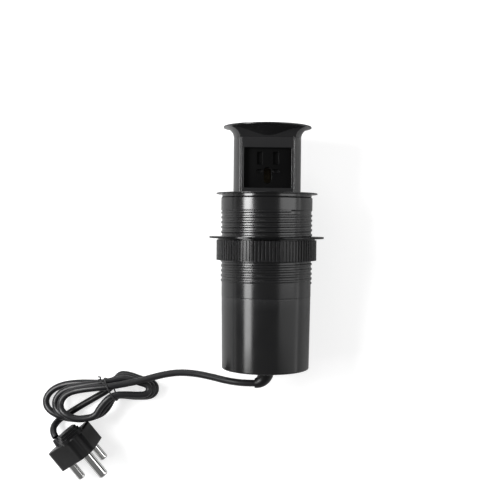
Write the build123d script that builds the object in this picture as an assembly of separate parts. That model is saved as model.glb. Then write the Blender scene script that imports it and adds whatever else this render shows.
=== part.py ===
"""Pop up desk socket with its mains lead and three-pin plug, lying on its side as laid down on a table."""

from build123d import *
from math import acos, atan2, ceil, cos, degrees, dist, hypot, pi, radians, sin, tan
import os

# All lengths are millimetres. The socket is modelled upright about the Z axis, its base underside at zero
# and its window towards -Y, and is then laid down with the window up. The lead is placed as it lies.

# Worktop cut-out and the fit in it
worktop_hole_d = 80.0
hole_clearance = 0.15
overrun = 10.0

# Outer barrel with its thread
barrel_length = 86.0
barrel_wall = 2.65
barrel_shoulder_round = 1.2
thread_pitch = 4.2
thread_depth = 0.8
thread_low_margin = 11.5
thread_top_margin = 12.2
thread_root_width = 2.7
thread_crest_width = 1.5
thread_sink = 0.4
spigot_length = 8.0
spigot_wall = 1.0

# Lower casing
casing_length = 63.5
casing_wall = 2.4
casing_draft = 0.95
casing_floor = 2.5
casing_edge_round = 1.0

# Desk flange with its funnel
flange_overhang = 4.1
flange_thickness = 1.2
flange_edge_round = 0.45
flange_neck_height = 2.5
flange_neck_inset = 1.0
flange_spigot = 8.5
funnel_clearance = 0.5
seat_gap = 0.3

# Column with its flat front
column_r = 29.4
column_wall = 2.0
column_flat = 17.0
travel = 56.2
slide_clearance = 0.1
wiper_thickness = 1.6
collar_length = 17.0
stop_gap = 0.2

# Cap
cap_overhang = 8.9
cap_rim = 1.1
cap_edge_round = 0.35
dish_arc_r = 33.0
cap_spigot = 4.0
cap_spigot_wall = 2.2
fit_gap = 0.1

# Front panel and window
window_side_margin = 2.086
window_h = 34.5
window_below_cap = 18.1
window_corner_r = 0.8
window_depth = 5.0
window_frame_wall = 1.2
panel_side_margin = 1.6
panel_foot_margin = 4.2

# Outlet face, its pin openings and the shutter behind it
face_thickness = 2.5
blade_slot_w = 4.4
blade_slot_h = 9.8
blade_slot_x = 6.9
blade_slot_rise = 8.5
side_slot_w = 5.4
side_slot_h = 2.4
side_slot_drop = 2.8
earth_slot_w = 6.2
earth_slot_h = 13.2
earth_slot_drop = 6.3
slot_bevel = 0.5
shutter_thickness = 1.5
shutter_gap = 0.3
shutter_shift = 5.5
shutter_overlap = 1.0
shutter_window_clearance = 0.3
spring_strip = 0.35
spring_wave = 1.2
spring_waves = 6

# Outlet housing and contacts
housing_depth = 16.0
housing_side_gap = 0.8
housing_post_w = 2.3
housing_post_h = 4.3
cavity_clearance = 1.0
contact_strip = 0.7
contact_play = 0.2
tail_w = 3.0
terminal_w = 6.0
terminal_h = 8.0
terminal_drop = 3.0
cover_thickness = 1.5
screw_r = 1.5
screw_head_r = 2.8
screw_head_h = 1.8
small_screw_r = 1.1
small_screw_head_r = 2.0
small_screw_head_h = 1.2

# Column foot and detent springs
foot_thickness = 3.0
foot_skirt = 9.0
foot_skirt_wall = 2.2
foot_rim_gap = 2.4
foot_hole_r = 4.4
detent_w = 10.0
detent_h = 15.0
detent_strip = 0.5
detent_gap = 0.5
detent_pocket_gap = 0.3

# Clamp nut and washer
nut_clearance = 0.3
nut_height = 17.5
nut_wall = 3.55
nut_rib_count = 90
nut_rib_depth = 0.75
nut_rib_share = 0.55
nut_neck_height = 1.2
nut_neck_inset = 1.3
nut_thread_turns = 3.2
nut_thread_crest = 1.1
nut_thread_root = 1.8
washer_rim = 9.85
washer_thickness = 1.7
washer_edge_round = 0.3
washer_gap = 0.1
desk_thickness = 36.6

# Gland and strain relief boot
gland_r = 9.6
gland_disc = 2.4
gland_disc_round = 0.8
gland_shank_r = 6.0
gland_shank_length = 9.5
gland_nut_flats = 17.0
gland_nut_height = 4.0
boot_straight = 2.1
boot_bend_r = 9.2
boot_shares = [0.0, 0.45, 1.0]
boot_radii = [8.4, 6.2, 4.1]

# Mains lead
cord_d = 6.0
corner_run_share = 0.45
wire_d = 2.4
core_ring_r = 1.4
live_core_angle = 210.0
neutral_core_angle = -30.0
earth_core_angle = 90.0
slack_swing_share = 0.5
slack_return_share = -0.25
slack_rises = 6
gap_sample_share = 0.25
gap_neighbour_share = 2.5
cord_run_points = [
    (-34.0, -12.0, 32.3), (-47.5, -8.9, 29.0), (-62.0, -6.3, 26.0),
    (-77.5, -5.6, 24.2), (-93.0, -8.2, 23.6), (-108.0, -12.6, 23.9), (-121.5, -15.6, 24.5),
]
hank_entry_point = (-131.0, -17.34, 25.37)
lead_out_length = 11.0
cord_tail_points = [(-181.0, -46.6, 3.1), (-189.0, -51.9, 3.2), (-191.8, -59.6, 13.6)]

# Hank: one tube tied at the waist, wound from the top loop down and let out along the table
hank_loops = 3
layer_step = 7.1
waist_x = -139.0
waist_y = -20.9
waist_lean = 30.0
waist_half = 6.4
waist_lift = 1.9
waist_top_shares = [0.35, 1.0, 0.70, -0.05]
waist_bottom_shares = [-0.90, -1.1, -1.0]
left_lobes = [
    (-164.5, -35.0, 20.5, 13.5), (-166.5, -34.5, 24.5, 15.4), (-168.5, -34.0, 29.0, 16.6),
]
left_angles = [95.0, 135.0, 175.0, 215.0, 262.0, 308.0]
left_sag = 5.5
left_sag_shares = [0.2, 0.9, 0.9, 0.0, 0.0, 0.0]
right_corners = [
    (-124.5, -28.9), (-114.0, -29.7), (-102.2, -29.2), (-98.1, -23.1), (-100.8, -16.4),
    (-113.0, -13.4), (-124.0, -9.3), (-134.6, -8.2),
]
right_fall_shares = [0.22, 0.5, 0.8, 1.0, 1.0, 1.0, 1.0, 1.0]
right_offsets = [(-2.0, 0.3), (-1.0, -0.3), (0.0, 0.0)]
hank_exit_points = [(-155.5, -31.0, 3.0), (-168.5, -38.6, 3.0)]
tie_wire_d = 1.3
tie_gap = 1.5
tie_corner_r = 5.0

# Plug with three round pins
pin_spacing = 25.4
earth_offset = 28.6
pin_r = 3.525
pin_length = 16.5
earth_pin_r = 4.35
earth_pin_length = 24.0
pin_root = 6.0
pin_root_step = 0.5
plug_corner_r = 9.6
plug_apex_r = 8.8
plug_corner_drop = 0.5
plug_apex_drop = 1.2
plug_depth = 20.0
plug_edge_round = 1.4
bridge_thickness = 2.0
bridge_margin = 3.2
grip_depth = 7.0
grip_half_width = 10.5
grip_low = 5.0
grip_step_count = 3
grip_step = 1.1
sleeve_r = 5.0
sleeve_end_r = 4.2
sleeve_length = 6.0
sleeve_mouth_gap = 1.1
sleeve_x = -8.0
sleeve_y = -3.0
plug_x = -163.6
plug_y = -80.3
plug_yaw = -50.5
plug_roll = 20.0
plug_nose_down = 6.0

# Derived radii and levels of the upright socket
crest_r = worktop_hole_d / 2 - hole_clearance
root_r = crest_r - thread_depth
bore_r = root_r - barrel_wall
thread_length = barrel_length - thread_low_margin - thread_top_margin
barrel_top = casing_length + barrel_length
flange_under = barrel_top + flange_neck_height
flange_top = flange_under + flange_thickness
flange_r = worktop_hole_d / 2 + flange_overhang
neck_r = worktop_hole_d / 2 - flange_neck_inset
spigot_bottom = barrel_top - flange_spigot
cap_r = column_r + cap_overhang
cap_under = flange_top + seat_gap + travel
cap_top = cap_under + cap_rim
collar_top = spigot_bottom - wiper_thickness
collar_bottom = collar_top - collar_length
foot_top = collar_bottom - stop_gap
foot_bottom = foot_top - foot_thickness
window_top = cap_under - window_below_cap
window_mid = window_top - window_h / 2
window_bottom = window_top - window_h
panel_half = (column_r**2 - column_flat**2) ** 0.5 - panel_side_margin
panel_low = window_bottom - panel_foot_margin
window_w = 2 * (panel_half - window_side_margin)
face_front = column_flat - window_depth
face_back = face_front - face_thickness
shutter_back = face_back - 2 * shutter_gap - shutter_thickness
housing_back = shutter_back - housing_depth
washer_top = flange_under - desk_thickness
washer_under = washer_top - washer_thickness
nut_top = washer_under - washer_gap
nut_bottom = nut_top - nut_neck_height - nut_height
nut_bore_r = crest_r + nut_clearance
nut_outer_r = nut_bore_r + nut_wall
washer_r = nut_bore_r + washer_rim
cord_r = cord_d / 2
casing_foot_r = root_r - casing_draft
boot_start = -gland_disc

upright = {}
lying = {}


def ring(outer, inner, low, high):
    """A plain ring about Z between two levels."""
    return extrude(Pos(0, 0, low) * (Circle(outer) - Circle(inner)), high - low)


def disc(radius, low, high):
    return extrude(Pos(0, 0, low) * Circle(radius), high - low)


def block(x_low, x_high, y_low, y_high, z_low, z_high):
    """A box given by its limits."""
    middle = ((x_low + x_high) / 2, (y_low + y_high) / 2, (z_low + z_high) / 2)
    return Pos(*middle) * Box(x_high - x_low, y_high - y_low, z_high - z_low)


def d_section(radius, flat):
    """A circle cut flat at y = -flat."""
    side = 4 * radius
    return Circle(radius) & (Pos(0, side / 2 - flat) * Rectangle(side, side))


def d_prism(radius, flat, low, high):
    return extrude(Pos(0, 0, low) * d_section(radius, flat), high - low)


def turned(outline):
    """Revolves an outline, drawn as radius and height, about Z."""
    return revolve(Plane.XZ * make_face(outline), Axis.Z)


def along_y(x, z, front, back, sketch):
    """Extrudes a sketch, drawn as seen from the front, from y = -front to y = -back."""
    plane = Plane(origin=(x, -front, z), x_dir=(1, 0, 0), z_dir=(0, -1, 0))
    return extrude(plane * sketch, -(front - back))


def tube(path, radius):
    return sweep(Plane(origin=path @ 0, z_dir=path % 0) * Circle(radius), path=path)


def corner_radii(points):
    """Arc radii that use a set share of the shorter run at each inner point."""
    radii = []
    for before, here, after in zip(points, points[1:], points[2:]):
        into = Vector(*here) - Vector(*before)
        out = Vector(*after) - Vector(*here)
        half_turn = radians(into.get_angle(out)) / 2
        radii.append(corner_run_share * min(into.length, out.length) / tan(half_turn))
    return radii


def rounded_path(points):
    return FilletPolyline(*points, radius=corner_radii(points))


def helical_rib(base_r, tip_r, low, turns, base_width, tip_width):
    """A right-hand thread rib whose section stands on base_r and points at tip_r."""
    helix = Pos(0, 0, low) * Helix(thread_pitch, thread_pitch * turns, base_r)
    outline = Polyline(
        (0, -base_width / 2), (tip_r - base_r, -tip_width / 2),
        (tip_r - base_r, tip_width / 2), (0, base_width / 2), close=True,
    )
    start = Plane(origin=helix @ 0, x_dir=(1, 0, 0), z_dir=helix % 0)
    return sweep(start * make_face(outline), path=helix, is_frenet=True)


def screw(shank_r, head_r, head_h, length):
    """A pan head screw pointing down -Z, its head standing on zero."""
    head = disc(head_r, 0, head_h)
    return head + disc(shank_r, -length, 0)


def barrel():
    """Threaded tube with a plain top band and a spigot that enters the casing."""
    band_low = thread_low_margin + thread_length
    spigot_r = bore_r + spigot_wall
    side = Polyline(
        (bore_r, barrel_length), (bore_r, -spigot_length), (spigot_r, -spigot_length), (spigot_r, 0),
        (root_r, 0), (root_r, band_low), (crest_r, band_low + thread_depth),
        (crest_r, barrel_length - barrel_shoulder_round),
    )
    shoulder = RadiusArc(side @ 1, (crest_r - barrel_shoulder_round, barrel_length), -barrel_shoulder_round)
    top = Line(shoulder @ 1, side @ 0)
    core = Pos(0, 0, casing_length) * turned(side + shoulder + top)
    turns = thread_length / thread_pitch
    rib_low = casing_length + thread_low_margin
    rib = helical_rib(root_r - thread_sink, crest_r, rib_low, turns, thread_root_width, thread_crest_width)
    return core + rib


def casing():
    """Cup with a slight draft that takes the barrel's spigot and lets the lead out of its floor."""
    socket_r = bore_r + spigot_wall
    outer = Polyline(
        (gland_shank_r, 0), (casing_foot_r, 0), (root_r - fit_gap, casing_length),
        (socket_r, casing_length), (socket_r, casing_length - spigot_length),
        (bore_r, casing_length - spigot_length),
        (casing_foot_r - casing_wall, casing_floor), (gland_shank_r, casing_floor), close=True,
    )
    cup = turned(outer)
    rim = [e for e in cup.edges().filter_by(GeomType.CIRCLE) if abs(e.radius - casing_foot_r) < fit_gap]
    return fillet(rim, casing_edge_round)


def desk_flange():
    """Trim ring on the worktop, its funnel shaped to swallow the cap's flare."""
    arc_r = cap_overhang - funnel_clearance
    arc_mid = flange_top + seat_gap - cap_overhang
    throat_r = cap_r - arc_r
    outside = Polyline(
        (throat_r, arc_mid), (throat_r, spigot_bottom), (bore_r, spigot_bottom), (bore_r, barrel_top),
        (neck_r, barrel_top), (neck_r, flange_under), (flange_r, flange_under), (flange_r, flange_top),
        (cap_r, flange_top), (cap_r, arc_mid + arc_r),
    )
    funnel = RadiusArc((cap_r, arc_mid + arc_r), (throat_r, arc_mid), -arc_r)
    trim = turned(outside + funnel)
    rims = [e for e in trim.edges().filter_by(GeomType.CIRCLE) if abs(e.radius - flange_r) < fit_gap]
    return fillet(rims, flange_edge_round)


def guide_collar():
    hole_r = column_r + slide_clearance
    hole = d_prism(hole_r, column_flat + slide_clearance, collar_bottom, collar_top)
    return disc(bore_r, collar_bottom, collar_top) - hole


def wiper_ring():
    hole = d_prism(column_r + slide_clearance, column_flat + slide_clearance, collar_top, spigot_bottom)
    return disc(bore_r, collar_top, spigot_bottom) - hole


def column_shell():
    """D-shaped tube, open at the front for the panel and closed by the cap and the foot."""
    inner_r = column_r - column_wall
    inner_flat = column_flat - column_wall
    shell = d_prism(column_r, column_flat, foot_top, cap_under - cap_overhang)
    shell -= d_prism(inner_r, inner_flat, foot_top, cap_under - cap_overhang)
    outside = -column_flat - overrun
    opening = block(-panel_half, panel_half, outside, -inner_flat + fit_gap, panel_low, cap_top)
    return shell - opening


def front_panel():
    """Plate flush with the flat, with the window's frame standing inwards from it."""
    high = cap_under - cap_overhang
    edge = panel_half - fit_gap
    middle = (panel_low + fit_gap + high) / 2
    plate_h = high - panel_low - fit_gap
    window = RectangleRounded(window_w, window_h, window_corner_r)
    frame = Rectangle(window_w + 2 * window_frame_wall, window_h + 2 * window_frame_wall)
    plate = along_y(0, middle, column_flat, column_flat - column_wall, Rectangle(2 * edge, plate_h))
    sides = along_y(0, window_mid, column_flat - column_wall, face_back, frame)
    return plate + sides - along_y(0, window_mid, column_flat + overrun, face_back - overrun, window)


def cap_skirt(inner_r, low, arc_r):
    """Turned body under the rim, hollow-curved from the rim's edge in to a smaller radius."""
    high = cap_under + fit_gap
    side = Polyline((cap_r, high), (0, high), (0, low), (inner_r, low))
    arc = RadiusArc((cap_r, cap_under), (inner_r, low), -arc_r)
    return turned(side + arc + Line((cap_r, cap_under), (cap_r, high)))


def cap():
    """Rim, flare and finger dish in one, with a spigot into the shell."""
    flare_low = cap_under - cap_overhang
    rim = disc(cap_r, cap_under, cap_top)
    rim = fillet([e for e in rim.edges().filter_by(GeomType.CIRCLE)], cap_edge_round)
    flare = cap_skirt(column_r, flare_low, cap_overhang)
    core_r = column_flat - column_wall
    dish_low = cap_under - dish_arc_r + (dish_arc_r**2 - (cap_r - core_r) ** 2) ** 0.5
    dish = cap_skirt(core_r, dish_low, dish_arc_r)
    behind = block(-cap_r, cap_r, -column_flat, cap_r, flare_low, cap_top)
    ahead = block(-cap_r, cap_r, -cap_r, -column_flat, flare_low, cap_top)
    plug_r = column_r - column_wall - fit_gap
    spigot = d_prism(plug_r, column_flat - column_wall - fit_gap, flare_low - cap_spigot, flare_low)
    hollow_r = plug_r - cap_spigot_wall
    inner = d_prism(hollow_r, face_back, flare_low - cap_spigot, cap_under)
    return rim + (flare & behind) + (dish & ahead) + spigot - inner


def slot(width, height, bevel):
    """A slot with rounded ends along its longer side, grown by a bevel."""
    long, short = max(width, height) + 2 * bevel, min(width, height) + 2 * bevel
    return SlotOverall(long, short, rotation=0 if width >= height else 90)


def pin_openings():
    """Each opening of the outlet face: x, height above the window's middle, width and height."""
    places = []
    for side in (-1, 1):
        places.append((side * blade_slot_x, blade_slot_rise, blade_slot_w, blade_slot_h))
        places.append((side * blade_slot_x, -side_slot_drop, side_slot_w, side_slot_h))
    places.append((0, -earth_slot_drop, earth_slot_w, earth_slot_h))
    return places


def opening_shape(width, height, bevel):
    """The blade slots are square-cornered, the others round-ended."""
    if width == blade_slot_w:
        return Rectangle(width + 2 * bevel, height + 2 * bevel)
    return slot(width, height, bevel)


def outlet_face():
    """Recessed face with its pin openings, each bevelled at the front."""
    sheet = RectangleRounded(window_w - 2 * fit_gap, window_h - 2 * fit_gap, window_corner_r)
    face = along_y(0, window_mid, face_front, face_back, sheet)
    for x, rise, width, height in pin_openings():
        place = window_mid + rise
        hole = opening_shape(width, height, 0)
        face -= along_y(x, place, face_front + overrun, face_back - overrun, hole)
        front = Plane(origin=(x, -face_front, place), x_dir=(1, 0, 0), z_dir=(0, 1, 0))
        mouth = loft([
            front * opening_shape(width, height, slot_bevel),
            front.offset(slot_bevel) * opening_shape(width, height, 0),
        ])
        face -= mouth
    return face


def shutter():
    """Sliding shutter, closed at rest: its two windows stand one shift aside from the blade slots."""
    front = face_back - shutter_gap
    back = front - shutter_thickness
    reach = blade_slot_x + blade_slot_w / 2 + shutter_overlap
    window_width = blade_slot_w + 2 * shutter_window_clearance
    window_height = blade_slot_h + 2 * shutter_window_clearance
    left = -reach - shutter_shift - shutter_overlap
    right = reach
    top = window_mid + blade_slot_rise + window_height / 2 + shutter_overlap
    bottom = window_mid + blade_slot_rise - window_height / 2 - shutter_overlap
    plate = block(left, right, -front, -back, bottom, top)
    for side in (-1, 1):
        x = side * blade_slot_x - shutter_shift
        window = Rectangle(window_width, window_height)
        plate -= along_y(x, window_mid + blade_slot_rise, front + fit_gap, back - fit_gap, window)
    return plate


def shutter_spring():
    """Wavy leaf spring between the shutter's end and the frame's wall."""
    middle_y = -(face_back - shutter_gap - shutter_thickness / 2)
    start = blade_slot_x + blade_slot_w / 2 + shutter_overlap + spring_strip
    end = window_w / 2 - fit_gap
    points = []
    for i in range(spring_waves + 1):
        lift = 0 if i in (0, spring_waves) else spring_wave * (-1) ** i
        points.append((start + (end - start) * i / spring_waves, window_mid + blade_slot_rise + lift))
    pieces = []
    for near, far in zip(points, points[1:]):
        angle = degrees(atan2(far[1] - near[1], far[0] - near[0]))
        place = Pos((near[0] + far[0]) / 2, middle_y, (near[1] + far[1]) / 2) * Rot(Y=-angle)
        pieces.append(place * Box(dist(near, far) + spring_strip, shutter_thickness, spring_strip))
    return pieces[0].fuse(*pieces[1:])


def contact_places():
    """Name, the angle its core leaves the lead at, x, height above the window's middle, opening's sizes."""
    return [
        ("live", live_core_angle, -blade_slot_x, blade_slot_rise, blade_slot_w, blade_slot_h),
        ("neutral", neutral_core_angle, blade_slot_x, blade_slot_rise, blade_slot_w, blade_slot_h),
        ("earth", earth_core_angle, 0, -earth_slot_drop, earth_slot_w, earth_slot_h),
    ]


def outlet_housing():
    """Moulded block behind the shutter, a cavity behind each opening, its corner posts against the face."""
    half_w = window_w / 2 - housing_side_gap
    half_h = window_h / 2 - housing_side_gap
    body = block(-half_w, half_w, -shutter_back, -housing_back, window_mid - half_h, window_mid + half_h)
    for _, _, x, rise, width, height in contact_places():
        hole = Rectangle(width + 2 * cavity_clearance, height + 2 * cavity_clearance)
        body -= along_y(x, window_mid + rise, shutter_back + fit_gap, housing_back - fit_gap, hole)
    post = Rectangle(housing_post_w, housing_post_h)
    for side in (-1, 1):
        x = side * (half_w - housing_post_w / 2)
        for end in (-1, 1):
            z = window_mid + end * (half_h - housing_post_h / 2)
            body += along_y(x, z, face_back, shutter_back, post)
    return body


def contact(x, rise, width, height):
    """Two leaves beside the pin, a web behind the block, a tail down to a terminal."""
    half = width / 2 + cavity_clearance - contact_play
    tall = height / 2
    centre = window_mid + rise
    back = -housing_back
    low = window_mid - window_h / 2 - terminal_drop
    body = block(-half, half, back, back + contact_strip, centre - tall, centre + tall)
    front = -shutter_back + fit_gap
    for side in (-1, 1):
        leaf_x = side * (half - contact_strip / 2)
        strip = contact_strip / 2
        body += block(leaf_x - strip, leaf_x + strip, front, back, centre - tall, centre + tall)
    body += block(-tail_w / 2, tail_w / 2, back, back + contact_strip, low, centre)
    half_terminal = terminal_w / 2
    terminal = block(-half_terminal, half_terminal, back, back + terminal_w, low - terminal_h, low)
    wire_hole = Pos(0, back + half_terminal, low - terminal_h) * Cylinder(wire_d / 2, terminal_h)
    return Pos(x, 0, 0) * (body + (terminal - wire_hole))


def housing_cover():
    """Insulating sheet over the contact tails, on two bosses of the block."""
    half_w = window_w / 2 - housing_side_gap
    high = window_mid + window_h / 2 - housing_side_gap
    low = window_mid - window_h / 2 + housing_side_gap
    back = -housing_back + contact_strip + fit_gap
    sheet = block(-half_w, half_w, back, back + cover_thickness, low, high)
    for side in (-1, 1):
        x = side * (half_w - screw_head_r)
        sheet += along_y(x, window_mid, housing_back, -back, Circle(screw_head_r))
        hole = Circle(screw_r)
        sheet -= along_y(x, window_mid, housing_back + fit_gap, -back - 2 * cover_thickness, hole)
    return sheet


def cover_screws():
    half_w = window_w / 2 - housing_side_gap
    back = -housing_back + contact_strip + fit_gap + cover_thickness
    screws = []
    for side in (-1, 1):
        x = side * (half_w - screw_head_r)
        one = screw(screw_r - fit_gap, screw_head_r, screw_head_h, cover_thickness + contact_strip)
        screws.append(Pos(x, back, window_mid) * Rot(X=-90) * one)
    return Compound(children=screws)


def terminal_screws():
    heads = []
    level = window_mid - window_h / 2 - terminal_drop - terminal_h / 2
    for _, _, x, _, _, _ in contact_places():
        head = disc(small_screw_head_r, 0, small_screw_head_h)
        heads.append(Pos(x, terminal_w - housing_back, level) * Rot(X=-90) * head)
    return Compound(children=heads)


def column_foot():
    """End plate of the column: a skirt inside the shell, a rim that stops under the collar."""
    plug_r = column_r - column_wall - fit_gap
    flat = column_flat - column_wall - fit_gap
    rim_r = bore_r - foot_rim_gap
    body = disc(rim_r, foot_bottom, foot_top)
    skirt = d_prism(plug_r, flat, foot_top, foot_top + foot_skirt)
    skirt -= d_prism(plug_r - foot_skirt_wall, flat - foot_skirt_wall, foot_top, foot_top + foot_skirt)
    body = body + skirt - disc(foot_hole_r, foot_bottom - fit_gap, foot_top + fit_gap)
    for side in (-1, 1):
        x_in = side * (rim_r - detent_gap - detent_strip)
        x_out = side * (rim_r + overrun)
        low, high = min(x_in, x_out), max(x_in, x_out)
        half = detent_w / 2 + detent_pocket_gap
        body -= block(low, high, -half, half, foot_bottom - fit_gap, foot_top + fit_gap)
    return body


def detent_spring(side):
    """Leaf hanging from the foot's rim, bowed out towards the barrel's wall."""
    rim_r = bore_r - foot_rim_gap
    inner = rim_r - detent_gap - detent_strip
    bow_r = bore_r - detent_gap
    bottom = foot_top - detent_h
    middle = (foot_top + bottom) / 2
    outer_line = Polyline(
        (inner, foot_top), (inner + detent_strip, foot_top), (bow_r, middle),
        (inner + detent_strip, bottom), (inner, bottom), (bow_r - detent_strip, middle), close=True,
    )
    leaf = extrude(Plane.XZ * make_face(outer_line), detent_w / 2, both=True)
    return leaf if side > 0 else mirror(leaf, Plane.YZ)


def foot_screws():
    """Three screws through the shell wall into the foot's skirt."""
    length = column_wall + foot_skirt_wall
    return Compound(children=[place * disc(small_screw_r, -length, -fit_gap) for place in screw_places()])


def screw_places():
    """Where the foot's screws enter the shell, pointing outwards."""
    level = foot_top + foot_skirt / 2
    return [Pos(0, 0, level) * Rot(Z=angle) * Pos(column_r, 0, 0) * Rot(Y=90) for angle in (0, 90, 180)]


def lead_clamp():
    """Saddle over the lead on the foot plate."""
    width = 2 * foot_hole_r + 4 * screw_head_r
    half_depth = cord_r + small_screw_r
    body = block(-width / 2, width / 2, -half_depth, half_depth, foot_top, foot_top + cord_d)
    body -= disc(cord_r, foot_top - fit_gap, foot_top + cord_d + fit_gap)
    for side in (-1, 1):
        x = side * (foot_hole_r + screw_head_r)
        body -= Pos(x, 0, 0) * disc(screw_r, foot_top - fit_gap, foot_top + cord_d + fit_gap)
    return body


def lead_clamp_screws():
    screws = []
    for side in (-1, 1):
        x = side * (foot_hole_r + screw_head_r)
        one = screw(screw_r - fit_gap, screw_head_r, screw_head_h, cord_d)
        screws.append(Pos(x, 0, foot_top + cord_d) * one)
    return Compound(children=screws)


def slack_lead():
    """The lead inside the casing, slack enough for the column's travel, up to the clamp."""
    low = gland_shank_length + casing_floor
    high = foot_top + cord_d + cord_r
    swing = bore_r * slack_swing_share
    back = bore_r * slack_return_share
    rise = (foot_bottom - low) / slack_rises
    points = [(x, 0, low + step * rise) for step, x in enumerate((0, 0, swing, swing, back, 0))]
    points.append((0, 0, high))
    return tube(rounded_path(points), cord_r - fit_gap)


def core_wire(x, angle):
    """One insulated core from the end of the lead's sheath up to its terminal."""
    low = foot_top + cord_d + cord_r
    terminal_low = window_mid - window_h / 2 - terminal_drop - terminal_h
    start_x = core_ring_r * cos(radians(angle))
    start_y = core_ring_r * sin(radians(angle))
    back = -housing_back + terminal_w / 2
    level = (low + terminal_low) / 2
    points = [
        (start_x, start_y, low), (start_x, start_y, low + wire_d), (x, back, level + wire_d),
        (x, back, terminal_low + terminal_h / 2),
    ]
    return tube(rounded_path(points), wire_d / 2 - fit_gap)


def clamp_washer():
    body = ring(washer_r, nut_bore_r, washer_under, washer_top)
    rims = [e for e in body.edges().filter_by(GeomType.CIRCLE) if abs(e.radius - washer_r) < fit_gap]
    return fillet(rims, washer_edge_round)


def clamp_nut():
    """Ribbed ring nut with its own thread rib between the barrel's turns."""
    ribs_top = nut_top - nut_neck_height
    angle = 360 / nut_rib_count
    valley_r = nut_outer_r - nut_rib_depth
    outline = []
    for i in range(nut_rib_count):
        for step, radius in ((0, nut_outer_r), (nut_rib_share, nut_outer_r),
                             (nut_rib_share, valley_r), (1, valley_r)):
            turn = radians(angle * (i + step))
            outline.append((radius * cos(turn), radius * sin(turn)))
    teeth = make_face(Polyline(*outline, close=True))
    body = extrude(Pos(0, 0, nut_bottom) * teeth, nut_height)
    body += disc(nut_outer_r - nut_neck_inset, ribs_top, nut_top)
    body -= disc(nut_bore_r, nut_bottom - fit_gap, nut_top + fit_gap)
    thread_low = casing_length + thread_low_margin
    half_pitch = thread_pitch / 2
    turns_below = ceil((nut_bottom + nut_thread_root / 2 - thread_low - half_pitch) / thread_pitch)
    rib_low = thread_low + turns_below * thread_pitch + half_pitch
    rib = helical_rib(nut_bore_r + thread_sink, root_r + thread_clear(), rib_low,
                      nut_thread_turns, nut_thread_root, nut_thread_crest)
    return body + rib


def thread_clear():
    return nut_clearance - fit_gap


def gland_body():
    """Round bush through the casing floor, with the lead's bore."""
    plate = disc(gland_r, -gland_disc, 0)
    plate = fillet([e for e in plate.edges().filter_by(GeomType.CIRCLE)][-1:], gland_disc_round)
    shank = disc(gland_shank_r, 0, gland_shank_length)
    return plate + shank - disc(cord_r, -gland_disc - fit_gap, gland_shank_length + fit_gap)


def gland_nut():
    hexagon = RegularPolygon(gland_nut_flats / 2, 6, major_radius=False)
    body = extrude(Pos(0, 0, casing_floor) * hexagon, gland_nut_height)
    return body - disc(gland_shank_r, casing_floor - fit_gap, casing_floor + gland_nut_height + fit_gap)


def boot_path():
    """Down out of the gland, then a quarter turn towards -X."""
    bend_start = boot_start - boot_straight
    down = Line((0, 0, boot_start), (0, 0, bend_start))
    centre = (-boot_bend_r, bend_start)
    middle = (centre[0] + boot_bend_r * cos(radians(45)), centre[1] - boot_bend_r * sin(radians(45)))
    bend_end = (-boot_bend_r, 0, bend_start - boot_bend_r)
    bend = ThreePointArc((0, 0, bend_start), (middle[0], 0, middle[1]), bend_end)
    return Wire([down, bend])


def strain_relief_boot():
    """Rubber boot that narrows round the bend."""
    path = boot_path()
    sections = []
    for share, radius in zip(boot_shares, boot_radii):
        sections.append(Plane(origin=path @ share, z_dir=path % share) * Circle(radius))
    return sweep(Sketch() + sections, path=path, multisection=True) - tube(path, cord_r)


def cord_entry():
    """The lead through gland and boot."""
    straight = Line((0, 0, gland_shank_length + casing_floor), (0, 0, boot_start))
    return tube(Wire([straight, *boot_path().edges()]), cord_r)


def washer_contact():
    """Edge circles of washer and casing in the radius and height plane: centre radius, height, round."""
    washer = (washer_r - washer_edge_round, washer_under + washer_edge_round, washer_edge_round)
    foot = (casing_foot_r - casing_edge_round, casing_edge_round, casing_edge_round)
    return washer, foot


def resting_tilt():
    """Angle that the axis rises at, and the axis height above the base, with both rims on the table."""
    washer, foot = washer_contact()
    across, along = washer[0] - foot[0], washer[1] - foot[1]
    tilt = acos((foot[2] - washer[2]) / hypot(across, along)) - atan2(along, across)
    height = foot[0] * cos(tilt) - foot[1] * sin(tilt) + foot[2]
    return degrees(tilt), height


def waist_place(share, height):
    """A place on the line across the waist, its share counted from the middle."""
    aside = waist_half * share
    lean = radians(waist_lean)
    return (waist_x - aside * sin(lean), waist_y + aside * cos(lean), height)


def left_corners(lobe, heights):
    """Corners on an ellipse: centre x and y, half length, half width."""
    x, y, half_length, half_width = lobe
    corners = []
    for angle, height in zip(left_angles, heights):
        turn = radians(angle)
        corners.append((x + half_length * cos(turn), y + half_width * sin(turn), height))
    return corners


def hank_points():
    """Corners of the hank. Each loop runs left, round, back through the tie, and sinks to the right."""
    points = []
    for loop in range(hank_loops):
        level = cord_r + layer_step * (hank_loops - loop)
        sagging = [level - left_sag * share for share in left_sag_shares]
        aside, ahead = right_offsets[loop]
        points.append(waist_place(waist_top_shares[loop], level + waist_lift))
        points += left_corners(left_lobes[loop], sagging)
        points.append(waist_place(waist_bottom_shares[loop], level + waist_lift))
        for (x, y), fall in zip(right_corners, right_fall_shares):
            points.append((x + aside, y + ahead, level - layer_step * fall))
    points.append(waist_place(waist_top_shares[-1], cord_r + waist_lift))
    return points + hank_exit_points


def least_gap(path, diameter):
    """Smallest clear distance between stretches of a tube that are not neighbours."""
    count = int(path.length / (diameter * gap_sample_share))
    places = [path.position_at(i / count) for i in range(count + 1)]
    places = [(p.X, p.Y, p.Z) for p in places]
    apart = int(gap_neighbour_share * diameter / (path.length / count))
    nearest = min(
        (dist(places[i], places[j]), i / count, j / count)
        for i in range(count + 1) for j in range(i + apart, count + 1)
    )
    return nearest[0] - diameter, nearest[1], nearest[2]


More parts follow.
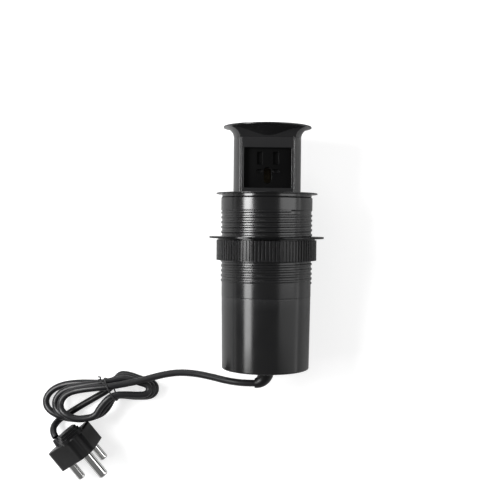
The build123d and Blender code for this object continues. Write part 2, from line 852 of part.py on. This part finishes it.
def report_tube(name, path, radii, solid):
    """Prints a tube's arc radii, its length and its volume against section times length."""
    swept = solid.volume / (pi * cord_r**2 * path.length)
    print(f"{name}: length {path.length:.1f}, least arc {min(radii):.1f}, volume ratio {swept:.4f}")


def plug_outline(inset):
    """Rounded triangle round the three pins, drawn as seen along the pins."""
    half = pin_spacing / 2
    circles = Sketch() + [
        Pos(-half, plug_corner_drop) * Circle(plug_corner_r - inset),
        Pos(half, plug_corner_drop) * Circle(plug_corner_r - inset),
        Pos(0, earth_offset - plug_apex_drop) * Circle(plug_apex_r - inset),
    ]
    return make_hull(circles.edges())


def plug_body():
    """Moulded body, its pin face at zero and its depth along -Z, with the stepped grip behind."""
    body = extrude(plug_outline(0), -plug_depth)
    back = body.faces().sort_by(Axis.Z)[0]
    body = fillet(back.edges(), plug_edge_round)
    body -= extrude(plug_outline(bridge_margin), -bridge_thickness)
    grip_top = earth_offset + plug_apex_r - plug_apex_drop - plug_edge_round
    for i in range(grip_step_count):
        near = plug_depth - plug_edge_round + i * grip_depth / grip_step_count
        far = plug_depth + (i + 1) * grip_depth / grip_step_count
        half = grip_half_width - i * grip_step
        high = grip_top - i * grip_step
        slab = RectangleRounded(2 * half, high - grip_low, half / 2)
        body += Pos(0, (high + grip_low) / 2, -far) * extrude(slab, far - near)
    for x, y, radius in pin_places():
        body -= Pos(x, y, 0) * disc(radius - pin_root_step, -bridge_thickness - pin_root, 0)
    return body


def pin_places():
    half = pin_spacing / 2
    return [(-half, 0, pin_r), (half, 0, pin_r), (0, earth_offset, earth_pin_r)]


def pin_bridge():
    """Hard plate that holds the pins, flush with the pin face."""
    body = extrude(plug_outline(bridge_margin), -bridge_thickness)
    for x, y, radius in pin_places():
        body -= Pos(x, y, 0) * disc(radius - pin_root_step, -bridge_thickness, 0)
    return body


def plug_pin(x, y, radius, length):
    """Round pin with a domed tip and a thinner root held in the moulding."""
    body = disc(radius, 0, length)
    tip = [e for e in body.edges().filter_by(GeomType.CIRCLE) if e.arc_center.Z > 0]
    root = disc(radius - pin_root_step, -bridge_thickness - pin_root, 0)
    return Pos(x, y, 0) * (fillet(tip, radius / 2) + root)


def plug_sleeve():
    """Short tapered sleeve where the lead enters the plug."""
    body = loft([Pos(0, 0, -plug_depth) * Circle(sleeve_r),
                 Pos(0, 0, -plug_depth - sleeve_length) * Circle(sleeve_end_r)])
    return Pos(sleeve_x, sleeve_y, 0) * body


def plug_placement():
    """Turns the plug so that its pins lie along the yaw, then lowers it on to the table."""
    nose = radians(-plug_nose_down)
    yaw = radians(plug_yaw)
    pins = Vector(cos(nose) * cos(yaw), cos(nose) * sin(yaw), sin(nose))
    level = Vector(-sin(yaw), cos(yaw), 0)
    up = pins.cross(level)
    roll = radians(plug_roll)
    across = level * cos(roll) - up * sin(roll)
    frame = Plane(origin=(plug_x, plug_y, 0), x_dir=across, z_dir=pins)
    lowest = (frame * plug_body()).bounding_box().min.Z
    return Plane(origin=(plug_x, plug_y, -lowest), x_dir=across, z_dir=pins)


def hank_tie():
    """Thin wire closed round the waist."""
    left, right = min(waist_bottom_shares), max(waist_top_shares)
    reach = waist_half * (right - left) / 2 + cord_r + tie_gap + tie_wire_d / 2
    low = tie_wire_d / 2
    high = waist_lift + layer_step * hank_loops + cord_d + tie_gap + tie_wire_d / 2
    lean = radians(waist_lean)
    origin = waist_place((left + right) / 2, (high + low) / 2)
    frame = Plane(origin=origin, x_dir=(-sin(lean), cos(lean), 0), z_dir=(cos(lean), sin(lean), 0))
    path = frame * RectangleRounded(2 * reach, high - low, tie_corner_r).wire()
    return sweep(Plane(origin=path @ 0, z_dir=path % 0) * Circle(tie_wire_d / 2), path=path)


upright["outer_barrel"] = barrel()
upright["lower_casing"] = casing()
upright["desk_flange"] = desk_flange()
upright["guide_collar"] = guide_collar()
upright["wiper_ring"] = wiper_ring()
upright["gland_body"] = gland_body()
upright["gland_nut"] = gland_nut()
upright["strain_relief_boot"] = strain_relief_boot()
upright["cord_entry"] = cord_entry()
upright["slack_lead"] = slack_lead()
upright["clamp_washer"] = clamp_washer()
upright["clamp_nut"] = clamp_nut()

shell = column_shell()
foot = column_foot()
for place in screw_places():
    hole = place * disc(small_screw_r, -column_wall - foot_skirt_wall - fit_gap, overrun)
    shell -= hole
    foot -= hole
upright["column_shell"] = shell
upright["column_foot"] = foot
upright["foot_screws"] = foot_screws()
upright["detent_spring_left"] = detent_spring(-1)
upright["detent_spring_right"] = detent_spring(1)
upright["cap"] = cap()
upright["front_panel"] = front_panel()
upright["outlet_face"] = outlet_face()
upright["shutter"] = shutter()
upright["shutter_spring"] = shutter_spring()
upright["outlet_housing"] = outlet_housing()
for name, angle, x, rise, width, height in contact_places():
    upright[f"contact_{name}"] = contact(x, rise, width, height)
    upright[f"wire_{name}"] = core_wire(x, angle)
upright["terminal_screws"] = terminal_screws()
upright["housing_cover"] = housing_cover()
upright["cover_screws"] = cover_screws()
upright["lead_clamp"] = lead_clamp()
upright["lead_clamp_screws"] = lead_clamp_screws()

tilt, axis_height = resting_tilt()
lay_down = Pos(0, 0, axis_height) * Rot(X=tilt - 90)
for name, solid in upright.items():
    lying[name] = lay_down * solid

lead_out = lay_down * Pos(-boot_bend_r, 0, boot_start - boot_straight - boot_bend_r)
lead_ahead = lead_out * Pos(-lead_out_length, 0, 0)
run_points = [tuple(lead_out.position), tuple(lead_ahead.position), *cord_run_points, hank_entry_point]
run_path = rounded_path(run_points)
lying["cord_run"] = tube(run_path, cord_r)
report_tube("cord_run", run_path, corner_radii(run_points), lying["cord_run"])

loop_points = [hank_entry_point, *hank_points(), cord_tail_points[0]]
hank_path = rounded_path(loop_points)
lying["cord_hank"] = tube(hank_path, cord_r)
report_tube("cord_hank", hank_path, corner_radii(loop_points), lying["cord_hank"])
print("cord_hank least gap and where:", least_gap(hank_path, cord_d))

plug_frame = plug_placement()
mouth = Vector(sleeve_x, sleeve_y, -plug_depth - sleeve_length - sleeve_mouth_gap)
sleeve_end = plug_frame.from_local_coords(mouth)
tail_points = [*cord_tail_points, tuple(sleeve_end)]
tail_path = rounded_path(tail_points)
lying["cord_tail"] = tube(tail_path, cord_r)
report_tube("cord_tail", tail_path, corner_radii(tail_points), lying["cord_tail"])
lying["hank_tie"] = hank_tie()

lying["plug_body"] = plug_frame * plug_body()
lying["pin_bridge"] = plug_frame * pin_bridge()
lying["plug_sleeve"] = plug_frame * plug_sleeve()
for name, (x, y, radius) in zip(("plug_pin_live", "plug_pin_neutral", "plug_pin_earth"), pin_places()):
    length = earth_pin_length if name.endswith("earth") else pin_length
    lying[name] = plug_frame * plug_pin(x, y, radius, length)

boxes = [lying[name].bounding_box() for name in upright]
middle_y = (min(box.min.Y for box in boxes) + max(box.max.Y for box in boxes)) / 2
lowest = min(box.min.Z for box in boxes)
centring = Pos(0, -middle_y, -lowest)

os.makedirs("parts", exist_ok=True)
for name, solid in lying.items():
    export_step(centring * solid, f"parts/{name}.step")

print(f"tilt {tilt:.4f} axis height {axis_height:.4f} shift {tuple(centring.position)}")
for name in lying:
    lows = (centring * lying[name]).bounding_box()
    print(f"{name}: z {lows.min.Z:.2f} to {lows.max.Z:.2f}")
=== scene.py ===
"""Looks of a pop up desk socket on its side: glossy black plastic, tied mains lead and three-pin plug."""
from math import cos, pi, radians, sin

import bpy
from mathutils import Matrix, Vector, geometry


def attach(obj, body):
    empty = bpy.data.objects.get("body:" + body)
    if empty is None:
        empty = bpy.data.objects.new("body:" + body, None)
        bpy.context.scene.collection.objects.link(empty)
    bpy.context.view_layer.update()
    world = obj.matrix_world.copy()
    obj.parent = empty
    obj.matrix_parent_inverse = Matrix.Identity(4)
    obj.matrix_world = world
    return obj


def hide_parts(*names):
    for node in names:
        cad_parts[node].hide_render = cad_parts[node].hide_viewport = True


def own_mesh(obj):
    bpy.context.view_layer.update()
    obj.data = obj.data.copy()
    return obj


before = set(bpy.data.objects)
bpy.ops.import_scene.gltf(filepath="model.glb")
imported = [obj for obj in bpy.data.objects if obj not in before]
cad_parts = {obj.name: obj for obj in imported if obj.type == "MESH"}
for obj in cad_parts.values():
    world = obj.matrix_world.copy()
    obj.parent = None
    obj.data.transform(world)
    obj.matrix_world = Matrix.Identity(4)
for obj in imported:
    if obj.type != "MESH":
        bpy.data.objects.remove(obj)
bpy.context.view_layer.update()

# The lead's points are counted from a place that these amounts carry to where the part stands
shift_y = -0.0978829
shift_z = 0.0000132

# Camera
camera_at = (-0.0143, -0.050945, 0.79061)
camera_forward = (0.0, 0.07515, -0.99717)
camera_roll = 0.55
camera_lens = 61.2

# Lead
cord_d = 0.006
lead_out = (-0.0092, -0.111505, 0.03637)
first_run = 0.011
run_corners = [
    (-0.0340, -0.0120, 0.0323), (-0.0475, -0.0089, 0.0290), (-0.0620, -0.0063, 0.0260),
    (-0.0775, -0.0056, 0.0242), (-0.0930, -0.0082, 0.0236), (-0.1080, -0.0126, 0.0239),
    (-0.1215, -0.0156, 0.0245), (-0.1310, -0.01734, 0.02537),
]
tail_corners = [(-0.1810, -0.0466, 0.0031), (-0.1890, -0.0519, 0.0032), (-0.1918, -0.0596, 0.0136)]
sleeve_mouth = (-0.18734, -0.162815, 0.01616)

# Hank: each loop has a left lobe (its middle, half length and half width) and a fold on the right
hank_loops = 3
layer_step = 0.0071
waist_at = (-0.1390, -0.0209)
waist_lean = radians(30.0)
waist_half = 0.0064
waist_lift = 0.0019
waist_top_shares = [0.35, 1.0, 0.70, -0.05]
waist_bottom_shares = [-0.90, -1.1, -1.0]
left_lobes = [
    (-0.1635, -0.0352, 0.0205, 0.0135), (-0.1660, -0.0345, 0.0245, 0.0154),
    (-0.1700, -0.0335, 0.0310, 0.0172),
]
left_angles = [95.0, 135.0, 175.0, 215.0, 262.0, 308.0]
left_bulges = [(-0.1465, -0.0370), (-0.1440, -0.0385), (-0.1418, -0.0398)]
left_sag = 0.0055
left_sag_shares = [0.2, 0.9, 0.9, 0.0, 0.0, 0.0]
right_corners = [
    (-0.1245, -0.0289), (-0.1140, -0.0297), (-0.1022, -0.0292), (-0.0981, -0.0231),
    (-0.1008, -0.0164), (-0.1130, -0.0134), (-0.1240, -0.0093), (-0.1346, -0.0082),
]
right_fall_shares = [0.22, 0.5, 0.8, 1.0, 1.0, 1.0, 1.0, 1.0]
right_middle = (-0.1150, -0.0195)
right_gather = [0.32, 0.17, 0.04]
exit_corners = [(-0.1555, -0.0310, 0.0030), (-0.1685, -0.0386, 0.0030)]

# Tie
tie_r = 0.00065
tied_within = 0.02
ring_steps = 24
knot_lean = 0.6
twist_heading = (0.9, -0.35, -0.25)
twist_points = 14
twist_advance = 0.00075
twist_turn = 1.05
twist_opens_at = 9
twist_opening = 0.8
twist_r_share = 0.9

# Lamps: place, the point they face, width, length and watts
lamps = {
    "left_strip": ((-0.585, 0.07, 0.585), (0, 0.07, 0.04), 0.29, 0.27, 5.4),
    "left_strip_low": ((-0.585, -0.18, 0.585), (0, -0.18, 0.04), 0.27, 0.23, 1.7),
    "right_broad": ((0.706, -0.03, 0.415), (0, -0.03, 0.04), 0.9, 0.55, 1.2),
    "right_high": ((0.62, 0.06, 0.53), (0, 0.06, 0.04), 0.62, 0.30, 1.25),
    "back_soft": ((-0.30, 0.75, 0.42), (-0.1, -0.05, 0.02), 0.50, 0.30, 1.6),
}

# Room and table
ceiling_level = 0.175
wall_top = 0.16
room_level = 0.22
floor_reach = 2.5
floor_color = (0.55, 0.55, 0.55)
floor_glow = 0.68
floor_mirrored_share = 0.1


def shifted(point):
    """A point of the lead's route, moved to where the part stands."""
    return (point[0], point[1] + shift_y, point[2] + shift_z)


def waist_place(share, height):
    """A crossing of the hank's waist, aside from its middle by a share of half its width."""
    aside = waist_half * share
    return (waist_at[0] - aside * sin(waist_lean), waist_at[1] + aside * cos(waist_lean), height)


def hank_corners():
    """Each loop runs left, round, back through the tie, and sinks a layer on the right."""
    cord_r = cord_d / 2
    points = []
    for loop in range(hank_loops):
        level = cord_r + layer_step * (hank_loops - loop)
        points.append(waist_place(waist_top_shares[loop], level + waist_lift))
        x, y, half_length, half_width = left_lobes[loop]
        for angle, share in zip(left_angles, left_sag_shares):
            turn = radians(angle)
            place = (x + half_length * cos(turn), y + half_width * sin(turn))
            points.append((*place, level - left_sag * share))
        points.append((*left_bulges[loop], level + waist_lift / 2))
        points.append(waist_place(waist_bottom_shares[loop], level + waist_lift))
        gather = right_gather[loop]
        for (x, y), fall in zip(right_corners, right_fall_shares):
            place = (x + (right_middle[0] - x) * gather, y + (right_middle[1] - y) * gather)
            points.append((*place, level - layer_step * fall))
    points.append(waist_place(waist_top_shares[-1], cord_r + waist_lift))
    return points + exit_corners


def put_in_scene(name, data):
    obj = bpy.data.objects.new(name, data)
    bpy.context.scene.collection.objects.link(obj)
    return obj


def new_piece(name, data, body):
    """A piece of the part, put in the scene on a body."""
    piece = put_in_scene(name, data)
    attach(piece, body)
    return piece


# Camera, as the photograph's: above the table, looking nearly straight down
forward = Vector(camera_forward).normalized()
side = Vector((1, 0, 0))
side = (side - forward * side.dot(forward)).normalized()
above = side.cross(forward)
roll = radians(camera_roll)
right = side * cos(roll) + above * sin(roll)
above = -side * sin(roll) + above * cos(roll)
camera_data = bpy.data.cameras.new("camera")
camera_data.lens = camera_lens
camera_data.sensor_width = 36.0
camera = put_in_scene("camera", camera_data)
turned = Matrix((right, above, -forward)).transposed()
camera.matrix_world = Matrix.Translation(camera_at) @ turned.to_4x4()
bpy.context.scene.camera = camera


def add_node(tree, kind, inputs=None, **settings):
    """A shader node, with its settings and the values of its unlinked inputs."""
    node = tree.nodes.new("ShaderNode" + kind)
    for setting, value in settings.items():
        setattr(node, setting, value)
    for socket, value in (inputs or {}).items():
        node.inputs[socket].default_value = value
    return node


def material(name, color, roughness, metallic=0.0):
    """A principled material, its node tree and its shader."""
    mat = bpy.data.materials.new(name)
    mat.use_nodes = True
    tree = mat.node_tree
    shader = tree.nodes["Principled BSDF"]
    shader.inputs["Base Color"].default_value = (*color, 1)
    shader.inputs["Roughness"].default_value = roughness
    shader.inputs["Metallic"].default_value = metallic
    return mat, tree, shader


def noise(tree, scale, detail, stretch=(1, 1, 1)):
    """Noise in the object's own metres, drawn out along an axis by stretch."""
    coords = add_node(tree, "TexCoord")
    mapping = add_node(tree, "Mapping", {"Scale": stretch})
    texture = add_node(tree, "TexNoise", {"Scale": scale, "Detail": detail})
    tree.links.new(coords.outputs["Object"], mapping.inputs["Vector"])
    tree.links.new(mapping.outputs["Vector"], texture.inputs["Vector"])
    return texture.outputs["Fac"]


def spread(tree, source, low, high):
    """Maps a texture's middle range to low and high."""
    ranged = add_node(tree, "MapRange", {"From Min": 0.3, "From Max": 0.7, "To Min": low, "To Max": high})
    tree.links.new(source, ranged.inputs["Value"])
    return ranged.outputs["Result"]


def bump(tree, shader, source, depth, below=None):
    """Bump of a depth in metres, on top of an earlier normal."""
    node = add_node(tree, "Bump", {"Distance": depth, "Strength": 1.0})
    tree.links.new(source, node.inputs["Height"])
    if below:
        tree.links.new(below, node.inputs["Normal"])
    tree.links.new(node.outputs["Normal"], shader.inputs["Normal"])
    return node.outputs["Normal"]


def moulded(name, color, roughness, smudge, grain_scale, grain_depth, gloss=0.5, worn_and_glint=0.0, edge=0.0):
    """Moulded plastic: a fine skin, smudges in the gloss, edges rounded in the shading, and convex edges
    lightened to grey, partly as wear and partly as a painted highlight.
    """
    smudge_scale, wave_scale, tint_scale = 38, 45, 60
    wave_depth = grain_depth * 2.5
    darker = [part * 0.8 for part in color]
    lighter = [part * 1.25 for part in color]
    rubbed_and_glint_grey = (0.16, 0.16, 0.165)
    mat, tree, shader = material(name, color, roughness)
    shader.inputs["Specular IOR Level"].default_value = gloss
    smudges = noise(tree, smudge_scale, 5)
    tree.links.new(spread(tree, smudges, roughness - smudge, roughness + smudge), shader.inputs["Roughness"])
    rounded = add_node(tree, "Bevel", {"Radius": edge}, samples=6).outputs["Normal"] if edge else None
    grained = bump(tree, shader, noise(tree, grain_scale, 2), grain_depth, rounded)
    bump(tree, shader, noise(tree, wave_scale, 1), wave_depth, grained)
    tint = add_node(tree, "Mix", {"A": (*darker, 1), "B": (*lighter, 1)}, data_type="RGBA")
    tree.links.new(noise(tree, tint_scale, 3), tint.inputs["Factor"])
    tree.links.new(tint.outputs["Result"], shader.inputs["Base Color"])
    # Convex edges, found by pointiness, are mixed towards grey: partly wear, partly a painted highlight along
    # the ridges
    if worn_and_glint:
        surface = add_node(tree, "NewGeometry")
        wear_and_glint = add_node(tree, "MapRange", {"From Min": 0.52, "From Max": 0.62, "To Max": worn_and_glint})
        rub_and_glint = add_node(tree, "Mix", {"B": (*rubbed_and_glint_grey, 1)}, data_type="RGBA")
        tree.links.new(tint.outputs["Result"], rub_and_glint.inputs["A"])
        tree.links.new(surface.outputs["Pointiness"], wear_and_glint.inputs["Value"])
        tree.links.new(wear_and_glint.outputs["Result"], rub_and_glint.inputs["Factor"])
        tree.links.new(rub_and_glint.outputs["Result"], shader.inputs["Base Color"])
    return mat


def metal(name, color, roughness, stretch, line_depth):
    """Metal with fine drawn lines along one axis."""
    mat, tree, shader = material(name, color, roughness, metallic=1.0)
    lines = noise(tree, 900, 4, stretch)
    tree.links.new(spread(tree, lines, roughness * 0.7, roughness * 1.5), shader.inputs["Roughness"])
    bump(tree, shader, lines, line_depth)
    return mat


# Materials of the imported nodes
black = (0.007, 0.007, 0.0074)
gloss_black = moulded("gloss_black", black, 0.20, 0.04, 1400, 0.0000022, worn_and_glint=0.08, edge=0.0010)
column_black = moulded("column_black", black, 0.18, 0.03, 1400, 0.0000022, worn_and_glint=0.05, edge=0.0018)
cap_black = moulded("cap_black", (0.010, 0.010, 0.0105), 0.24, 0.04, 1400, 0.0000022, worn_and_glint=0.08, edge=0.0003)
rib_black = moulded("rib_black", (0.003, 0.003, 0.0033), 0.18, 0.04, 1100, 0.000003, gloss=0.20, worn_and_glint=0.06,
                    edge=0.0005)
dull_black = moulded("dull_black", (0.012, 0.012, 0.0125), 0.42, 0.06, 900, 0.000008)
# The outlet face is darker than the other blacks, as painted shade of its recessed window; the gland shares this
# black
face_black = moulded("face_black", (0.0012, 0.0012, 0.0013), 0.40, 0.05, 1200, 0.000003, gloss=0.14, edge=0.0003)
shutter_black = moulded("shutter_black", (0.0012, 0.0012, 0.0013), 0.5, 0.05, 800, 0.000008, gloss=0.14)
boot_black = moulded("boot_black", (0.006, 0.006, 0.0064), 0.40, 0.07, 700, 0.000012, gloss=0.35)
sheath_black = moulded("sheath_black", (0.012, 0.012, 0.013), 0.36, 0.07, 650, 0.000014, gloss=0.34)
plug_black = moulded("plug_black", (0.004, 0.004, 0.0042), 0.34, 0.06, 900, 0.000012, gloss=0.14, worn_and_glint=0.08,
                     edge=0.0009)
sheet_tan = moulded("sheet_tan", (0.42, 0.38, 0.31), 0.6, 0.05, 700, 0.00001)
tie_black = moulded("tie_black", (0.02, 0.02, 0.021), 0.4, 0.05, 900, 0.00001)
core_brown = moulded("core_brown", (0.13, 0.055, 0.025), 0.45, 0.05, 700, 0.00001)
core_blue = moulded("core_blue", (0.03, 0.09, 0.27), 0.45, 0.05, 700, 0.00001)
core_green = moulded("core_green", (0.10, 0.24, 0.05), 0.45, 0.05, 700, 0.00001)
pin_metal = metal("pin_metal", (0.80, 0.80, 0.79), 0.07, (0.2, 1, 1), 0.0000005)
screw_metal = metal("screw_metal", (0.58, 0.58, 0.60), 0.3, (1, 0.3, 1), 0.000002)
# The contacts' brass is made far darker than brass, as painted shade deep in the outlet's slots
brass_painted_shade = metal("brass_painted_shade", (0.09, 0.075, 0.05), 0.38, (1, 1, 0.3), 0.000002)
spring_metal = metal("spring_metal", (0.52, 0.52, 0.54), 0.3, (1, 0.2, 1), 0.000001)

pin_nodes = ["plug_pin_live", "plug_pin_neutral", "plug_pin_earth"]
node_materials = {
    gloss_black: ["outer_barrel", "lower_casing", "desk_flange", "front_panel"],
    column_black: ["column_shell"],
    cap_black: ["cap"],
    rib_black: ["clamp_nut", "clamp_washer"],
    dull_black: ["guide_collar", "column_foot", "outlet_housing", "lead_clamp", "pin_bridge"],
    face_black: ["outlet_face", "gland_body", "gland_nut"],
    shutter_black: ["shutter"],
    boot_black: ["strain_relief_boot", "wiper_ring"],
    sheath_black: ["cord_entry", "slack_lead", "plug_sleeve", "cord_run", "cord_hank", "cord_tail"],
    plug_black: ["plug_body"],
    sheet_tan: ["housing_cover"],
    tie_black: ["hank_tie"],
    core_brown: ["wire_live"],
    core_blue: ["wire_neutral"],
    core_green: ["wire_earth"],
    pin_metal: pin_nodes,
    screw_metal: ["terminal_screws", "cover_screws", "lead_clamp_screws", "foot_screws"],
    brass_painted_shade: ["contact_live", "contact_neutral", "contact_earth"],
    spring_metal: ["shutter_spring", "detent_spring_left", "detent_spring_right"],
}
for mat, names in node_materials.items():
    for name in names:
        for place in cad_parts[name].material_slots:
            place.material = mat


def gives_way(name, node, body):
    """A soft node's own shape, copied onto a body in place of the imported node."""
    piece = new_piece(name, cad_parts[node].data.copy(), body)
    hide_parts(node)
    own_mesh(piece)


# Inside: the slack lead under the column, and the spring behind the shutter, get shapes of their own
gives_way("slack", "slack_lead", "barrel")
gives_way("shutter_coil", "shutter_spring", "column")


def smooth_tube(name, points, radius, closed, mat, fineness, sides):
    """A curve's data: one NURBS spline through its control points, thickened to a round tube."""
    curve = bpy.data.curves.new(name, "CURVE")
    curve.dimensions = "3D"
    spline = curve.splines.new("NURBS")
    spline.points.add(len(points) - 1)
    for point, place in zip(spline.points, points):
        point.co = (*place, 1)
    spline.order_u = 3
    spline.use_cyclic_u = closed
    spline.use_endpoint_u = not closed
    spline.resolution_u = fineness
    curve.bevel_depth = radius
    curve.bevel_resolution = sides
    curve.use_fill_caps = True
    curve.materials.append(mat)
    return curve


def places_along(curve):
    """Points along a curve's smooth middle line."""
    bare = curve.copy()
    bare.bevel_depth = 0
    line = put_in_scene("line", bare)
    bpy.context.view_layer.update()
    mesh = bpy.data.meshes.new_from_object(line.evaluated_get(bpy.context.evaluated_depsgraph_get()))
    places = [vertex.co.copy() for vertex in mesh.vertices]
    bpy.data.objects.remove(line)
    bpy.data.meshes.remove(mesh)
    return places


# The lead: one smooth curve from the boot, through the hank, to the plug
route = [shifted(point) for point in run_corners + hank_corners() + tail_corners]
route = [lead_out, (lead_out[0] - first_run, lead_out[1], lead_out[2])] + route + [sleeve_mouth]
lead_curve = smooth_tube("lead", route, cord_d / 2, False, sheath_black, 10, 5)
lead = new_piece("lead", lead_curve, "barrel")
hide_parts("cord_run", "cord_hank", "cord_tail")

# Tie: a thin coated wire drawn tight round the strands at the waist
up = Vector((0, 0, 1))
through = Vector((cos(waist_lean), sin(waist_lean), 0))
across = Vector((-sin(waist_lean), cos(waist_lean), 0))
tie_centre = Vector(shifted((*waist_at, 0)))
tie_reach = cord_d / 2 + tie_r
ringed = []
lead_places = places_along(lead_curve)
for near, far in zip(lead_places, lead_places[1:]):
    before, after = (near - tie_centre).dot(through), (far - tie_centre).dot(through)
    if before * after <= 0 and before != after:
        crossing = near.lerp(far, before / (before - after)) - tie_centre
        if abs(crossing.dot(across)) < tied_within:
            for step in range(ring_steps):
                turn = 2 * pi * step / ring_steps
                ringed.append((crossing.dot(across) + tie_reach * cos(turn),
                               max(crossing.z + tie_reach * sin(turn), tie_r)))
outline = [ringed[index] for index in geometry.convex_hull_2d(ringed)]
tie_line = [tie_centre + across * aside + up * height for aside, height in outline]
tie = new_piece("tie", smooth_tube("tie", tie_line, tie_r, True, tie_black, 6, 3), "barrel")
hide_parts("hank_tie")

# Its two ends, twisted together from the knot and spread at their tips
aside, height = max(outline, key=lambda place: place[1] + knot_lean * place[0])
knot = tie_centre + across * aside + up * height
heading = across * twist_heading[0] + through * twist_heading[1] + up * twist_heading[2]
twist_ahead = heading.normalized()
twist_side = twist_ahead.cross(up).normalized()
twist_above = twist_side.cross(twist_ahead)
for end in (0, 1):
    twist = []
    for step in range(twist_points):
        turn = pi * end + step * twist_turn
        apart = tie_r * (1.0 + twist_opening * max(step - twist_opens_at, 0))
        twist.append(knot + twist_ahead * (twist_advance * step) + twist_side * (apart * cos(turn))
                     + twist_above * (apart * sin(turn)))
    name = f"tie_end_{end + 1}"
    end_curve = smooth_tube(name, twist, tie_r * twist_r_share, False, tie_black, 6, 3)
    new_piece(name, end_curve, "barrel")

# Soft lamps give the barrel its bright strip on the left and its dim broad one on the right
for name, (place, aim, width, length, watts) in lamps.items():
    lamp_data = bpy.data.lights.new(name, "AREA")
    lamp_data.shape = "RECTANGLE"
    lamp_data.size = width
    lamp_data.size_y = length
    lamp_data.energy = watts
    ahead = (Vector(aim) - Vector(place)).normalized()
    lamp_x = Vector((0, 1, 0)).cross(-ahead).normalized()
    lamp_y = (-ahead).cross(lamp_x)
    lamp = put_in_scene(name, lamp_data)
    turned = Matrix((lamp_x, lamp_y, -ahead)).transposed()
    lamp.matrix_world = Matrix.Translation(place) @ turned.to_4x4()

# Room: mirrored rays see white walls under a dim ceiling, matt surfaces one even level, the camera white
world = bpy.data.worlds.new("studio")
world.use_nodes = True
bpy.context.scene.world = world
sky = world.node_tree
backdrop = sky.nodes["Background"]
backdrop.inputs["Color"].default_value = (1, 1, 1, 1)
sky_coords = add_node(sky, "TexCoord")
sky_axes = add_node(sky, "SeparateXYZ")
rising = add_node(sky, "MapRange", {"From Min": 0.0, "From Max": wall_top, "To Min": 1.0,
                                    "To Max": ceiling_level}, interpolation_type="SMOOTHSTEP")
sky_rays = add_node(sky, "LightPath")
mirrored = add_node(sky, "Math", operation="MAXIMUM")
around = add_node(sky, "Mix", {"A": room_level})
sky_level = add_node(sky, "Mix", {"B": 1.0})
sky.links.new(sky_coords.outputs["Generated"], sky_axes.inputs["Vector"])
sky.links.new(sky_axes.outputs["Z"], rising.inputs["Value"])
sky.links.new(sky_rays.outputs["Is Glossy Ray"], mirrored.inputs[0])
sky.links.new(sky_rays.outputs["Is Transmission Ray"], mirrored.inputs[1])
sky.links.new(mirrored.outputs["Value"], around.inputs["Factor"])
sky.links.new(rising.outputs["Result"], around.inputs["B"])
sky.links.new(sky_rays.outputs["Is Camera Ray"], sky_level.inputs["Factor"])
sky.links.new(around.outputs["Result"], sky_level.inputs["A"])
sky.links.new(sky_level.outputs["Result"], backdrop.inputs["Strength"])

# Table: a pale floor that shows white to the camera, a little of that to mirrored rays, and the shadows
corners = [(-floor_reach, -floor_reach, 0), (floor_reach, -floor_reach, 0), (floor_reach, floor_reach, 0),
           (-floor_reach, floor_reach, 0)]
floor_mesh = bpy.data.meshes.new("floor")
floor_mesh.from_pydata(corners, [], [(0, 1, 2, 3)])
floor = put_in_scene("floor", floor_mesh)
floor_mat, floor_tree, floor_shader = material("floor", floor_color, 0.6)
rays = add_node(floor_tree, "LightPath")
seen = add_node(floor_tree, "Math", operation="MAXIMUM")
faint = add_node(floor_tree, "Math", {1: floor_mirrored_share}, operation="MULTIPLY")
either = add_node(floor_tree, "Math", operation="MAXIMUM")
glow = add_node(floor_tree, "Math", {1: floor_glow}, operation="MULTIPLY")
floor_shader.inputs["Emission Color"].default_value = (1, 1, 1, 1)
floor_tree.links.new(rays.outputs["Is Camera Ray"], seen.inputs[0])
floor_tree.links.new(rays.outputs["Is Transmission Ray"], seen.inputs[1])
floor_tree.links.new(rays.outputs["Is Glossy Ray"], faint.inputs[0])
floor_tree.links.new(seen.outputs["Value"], either.inputs[0])
floor_tree.links.new(faint.outputs["Value"], either.inputs[1])
floor_tree.links.new(either.outputs["Value"], glow.inputs[0])
floor_tree.links.new(glow.outputs["Value"], floor_shader.inputs["Emission Strength"])
floor_mesh.materials.append(floor_mat)

bpy.context.scene.view_settings.view_transform = "Standard"
